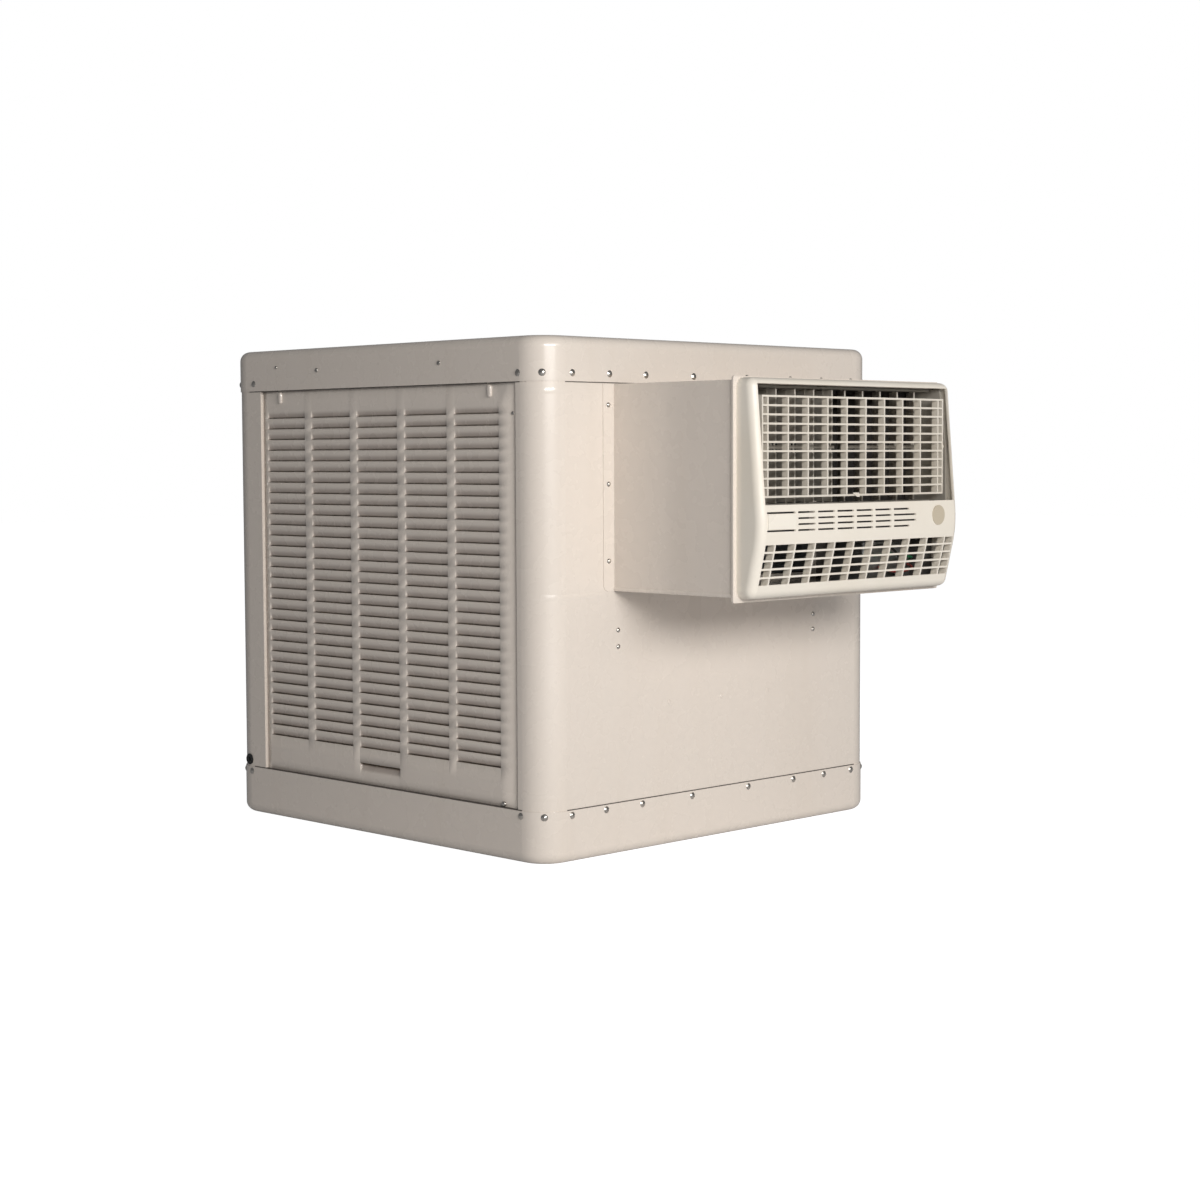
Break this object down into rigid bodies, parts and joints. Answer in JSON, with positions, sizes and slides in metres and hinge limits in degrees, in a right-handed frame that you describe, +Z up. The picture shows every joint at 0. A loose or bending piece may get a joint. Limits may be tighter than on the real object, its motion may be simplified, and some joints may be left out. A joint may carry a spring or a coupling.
{
  "type": "evaporative cooler",
  "caption": "Window evaporative cooler: rounded steel cabinet with louvred wet-pad sides, a discharge duct and a plastic grille with tilting and turning louvres.",
  "frame": {"origin": "centre of the bottom pan's underside, the flat face that the cabinet stands on", "axes": "+Z up; -Y is the discharge direction, out of the duct and grille; +X is to the right when looking along +Y at the grille"},
  "size_m": [0.7154, 0.9839, 0.72],
  "materials": {
    "cabinet_paint": "gloss enamel",
    "rivet_steel": "satin",
    "grille_plastic": "satin moulded",
    "label_film": "printed film, blank",
    "galvanised": "spangled zinc",
    "shaft_steel": "ground",
    "cast_pulley": "machined rim",
    "bearing_bronze": "sintered bronze",
    "motor_paint": "semi-gloss",
    "belt_rubber": "matt",
    "pump_plastic": "moulded",
    "hose": "flexible vinyl",
    "fitting_plastic": "moulded",
    "grommet_rubber": "matt",
    "valve_brass": "machined",
    "float_plastic": "moulded",
    "aspen_pad": "shredded aspen wood fibre in netting"
  },
  "bodies": {
    "cabinet": {"bottom_pan": "cabinet_paint", "top_pan": "cabinet_paint", "front_wall": "cabinet_paint", "rear_post_left": "cabinet_paint", "rear_post_right": "cabinet_paint", "discharge_duct": "cabinet_paint", "window_flange": "cabinet_paint", "rivets": "rivet_steel", "grille_bezel": "grille_plastic", "label_plate": "label_film", "badge": "label_film", "vane_carrier": "grille_plastic", "control_box": "galvanised", "cord_gland": "fitting_plastic", "scroll_wrap": "galvanised", "scroll_side_left": "galvanised", "scroll_side_right": "galvanised", "bearing_bracket_left": "galvanised", "bearing_bracket_right": "galvanised", "shaft_bearings": "bearing_bronze", "motor_shell": "motor_paint", "motor_mount": "galvanised", "drive_belt": "belt_rubber", "pump_body": "pump_plastic", "pump_motor": "pump_plastic", "riser_tube": "hose", "distributor": "fitting_plastic", "spray_tubes": "hose", "water_troughs": "galvanised", "inlet_grommet": "grommet_rubber", "float_valve": "valve_brass", "drain_bushing": "fitting_plastic"},
    "left_panel": {"louvre_panel_left": "cabinet_paint", "pad_left": "aspen_pad"},
    "right_panel": {"louvre_panel_right": "cabinet_paint", "pad_right": "aspen_pad"},
    "rear_panel": {"louvre_panel_rear": "cabinet_paint", "pad_rear": "aspen_pad"},
    "cassette": {"louvre_cassette": "grille_plastic"},
    "blower_rotor": {"blower_wheel": "galvanised", "blower_shaft": "shaft_steel", "blower_pulley": "cast_pulley"},
    "motor_rotor_set": {"motor_rotor": "shaft_steel", "motor_pulley": "cast_pulley"},
    "impeller": {"pump_impeller": "pump_plastic"},
    "float": {"float_arm": "valve_brass", "float_ball": "float_plastic"},
    "overflow": {"overflow_pipe": "fitting_plastic"},
    "left_link": {"vane_link_left": "grille_plastic"},
    "right_link": {"vane_link_right": "grille_plastic"},
    "vane_01": {"vane_01": "grille_plastic"},
    "vane_02": {"vane_02": "grille_plastic"},
    "vane_03": {"vane_03": "grille_plastic"},
    "vane_04": {"vane_04": "grille_plastic"},
    "vane_05": {"vane_05": "grille_plastic"},
    "vane_06": {"vane_06": "grille_plastic"},
    "vane_07": {"vane_07": "grille_plastic"},
    "vane_08": {"vane_08": "grille_plastic"},
    "vane_09": {"vane_09": "grille_plastic"},
    "vane_10": {"vane_10": "grille_plastic"}
  },
  "joints": [
    {"name": "left_panel_lift", "type": "slide", "parent": "cabinet", "child": "left_panel", "axis": [0, 0, 1], "range_m": [0, 0.012]},
    {"name": "right_panel_lift", "type": "slide", "parent": "cabinet", "child": "right_panel", "axis": [0, 0, 1], "range_m": [0, 0.012]},
    {"name": "rear_panel_lift", "type": "slide", "parent": "cabinet", "child": "rear_panel", "axis": [0, 0, 1], "range_m": [0, 0.012]},
    {"name": "cassette_tilt", "type": "hinge", "parent": "cabinet", "child": "cassette", "pos_m": [0, -0.6, 0.5685], "axis": [1, 0, 0], "range_deg": [-8, 8]},
    {"name": "blower_spin", "type": "hinge", "parent": "cabinet", "child": "blower_rotor", "pos_m": [0, 0.04, 0.4], "axis": [1, 0, 0], "continuous": true},
    {"name": "motor_spin", "type": "hinge", "parent": "cabinet", "child": "motor_rotor_set", "pos_m": [0, -0.25, 0.218], "axis": [1, 0, 0], "continuous": true},
    {"name": "impeller_spin", "type": "hinge", "parent": "cabinet", "child": "impeller", "pos_m": [0.225, 0.205, 0.016], "axis": [0, 0, 1], "continuous": true},
    {"name": "float_rise", "type": "hinge", "parent": "cabinet", "child": "float", "pos_m": [-0.284, 0.311, 0.084], "axis": [-1, 0, 0], "range_deg": [0, 14]},
    {"name": "overflow_lift", "type": "slide", "parent": "cabinet", "child": "overflow", "axis": [0, 0, 1], "range_m": [0, 0.07]},
    {"name": "vane_01_turn", "type": "hinge", "parent": "cabinet", "child": "vane_01", "pos_m": [-0.17568, -0.565, 0.5695], "axis": [0, 0, -1], "range_deg": [-50, 30]},
    {"name": "vane_02_turn", "type": "hinge", "parent": "cabinet", "child": "vane_02", "pos_m": [-0.13664, -0.565, 0.5695], "axis": [0, 0, -1], "range_deg": [-50, 30]},
    {"name": "vane_03_turn", "type": "hinge", "parent": "cabinet", "child": "vane_03", "pos_m": [-0.0976, -0.565, 0.5695], "axis": [0, 0, -1], "range_deg": [-50, 30]},
    {"name": "vane_04_turn", "type": "hinge", "parent": "cabinet", "child": "vane_04", "pos_m": [-0.05856, -0.565, 0.5695], "axis": [0, 0, -1], "range_deg": [-50, 30]},
    {"name": "vane_05_turn", "type": "hinge", "parent": "cabinet", "child": "vane_05", "pos_m": [-0.01952, -0.565, 0.5695], "axis": [0, 0, -1], "range_deg": [-50, 30]},
    {"name": "vane_06_turn", "type": "hinge", "parent": "cabinet", "child": "vane_06", "pos_m": [0.01952, -0.565, 0.5695], "axis": [0, 0, -1], "range_deg": [-76, 4]},
    {"name": "vane_07_turn", "type": "hinge", "parent": "cabinet", "child": "vane_07", "pos_m": [0.05856, -0.565, 0.5695], "axis": [0, 0, -1], "range_deg": [-76, 4]},
    {"name": "vane_08_turn", "type": "hinge", "parent": "cabinet", "child": "vane_08", "pos_m": [0.0976, -0.565, 0.5695], "axis": [0, 0, -1], "range_deg": [-76, 4]},
    {"name": "vane_09_turn", "type": "hinge", "parent": "cabinet", "child": "vane_09", "pos_m": [0.13664, -0.565, 0.5695], "axis": [0, 0, -1], "range_deg": [-76, 4]},
    {"name": "vane_10_turn", "type": "hinge", "parent": "cabinet", "child": "vane_10", "pos_m": [0.17568, -0.565, 0.5695], "axis": [0, 0, -1], "range_deg": [-76, 4]},
    {"name": "left_link_pivot", "type": "hinge", "parent": "vane_01", "child": "left_link", "pos_m": [-0.17828, -0.57977, 0.568], "axis": [0, 0, -1], "range_deg": [-30, 50]},
    {"name": "right_link_pivot", "type": "hinge", "parent": "vane_06", "child": "right_link", "pos_m": [0.0107, -0.57713, 0.568], "axis": [0, 0, -1], "range_deg": [-4, 76]}
  ],
  "couplings": [
    {"joint": "motor_spin", "follows": "blower_spin", "ratio": 3.2857},
    {"joint": "vane_02_turn", "follows": "vane_01_turn", "ratio": 1},
    {"joint": "vane_03_turn", "follows": "vane_01_turn", "ratio": 1},
    {"joint": "vane_04_turn", "follows": "vane_01_turn", "ratio": 1},
    {"joint": "vane_05_turn", "follows": "vane_01_turn", "ratio": 1},
    {"joint": "left_link_pivot", "follows": "vane_01_turn", "ratio": -1},
    {"joint": "vane_07_turn", "follows": "vane_06_turn", "ratio": 1},
    {"joint": "vane_08_turn", "follows": "vane_06_turn", "ratio": 1},
    {"joint": "vane_09_turn", "follows": "vane_06_turn", "ratio": 1},
    {"joint": "vane_10_turn", "follows": "vane_06_turn", "ratio": 1},
    {"joint": "right_link_pivot", "follows": "vane_06_turn", "ratio": -1}
  ]
}
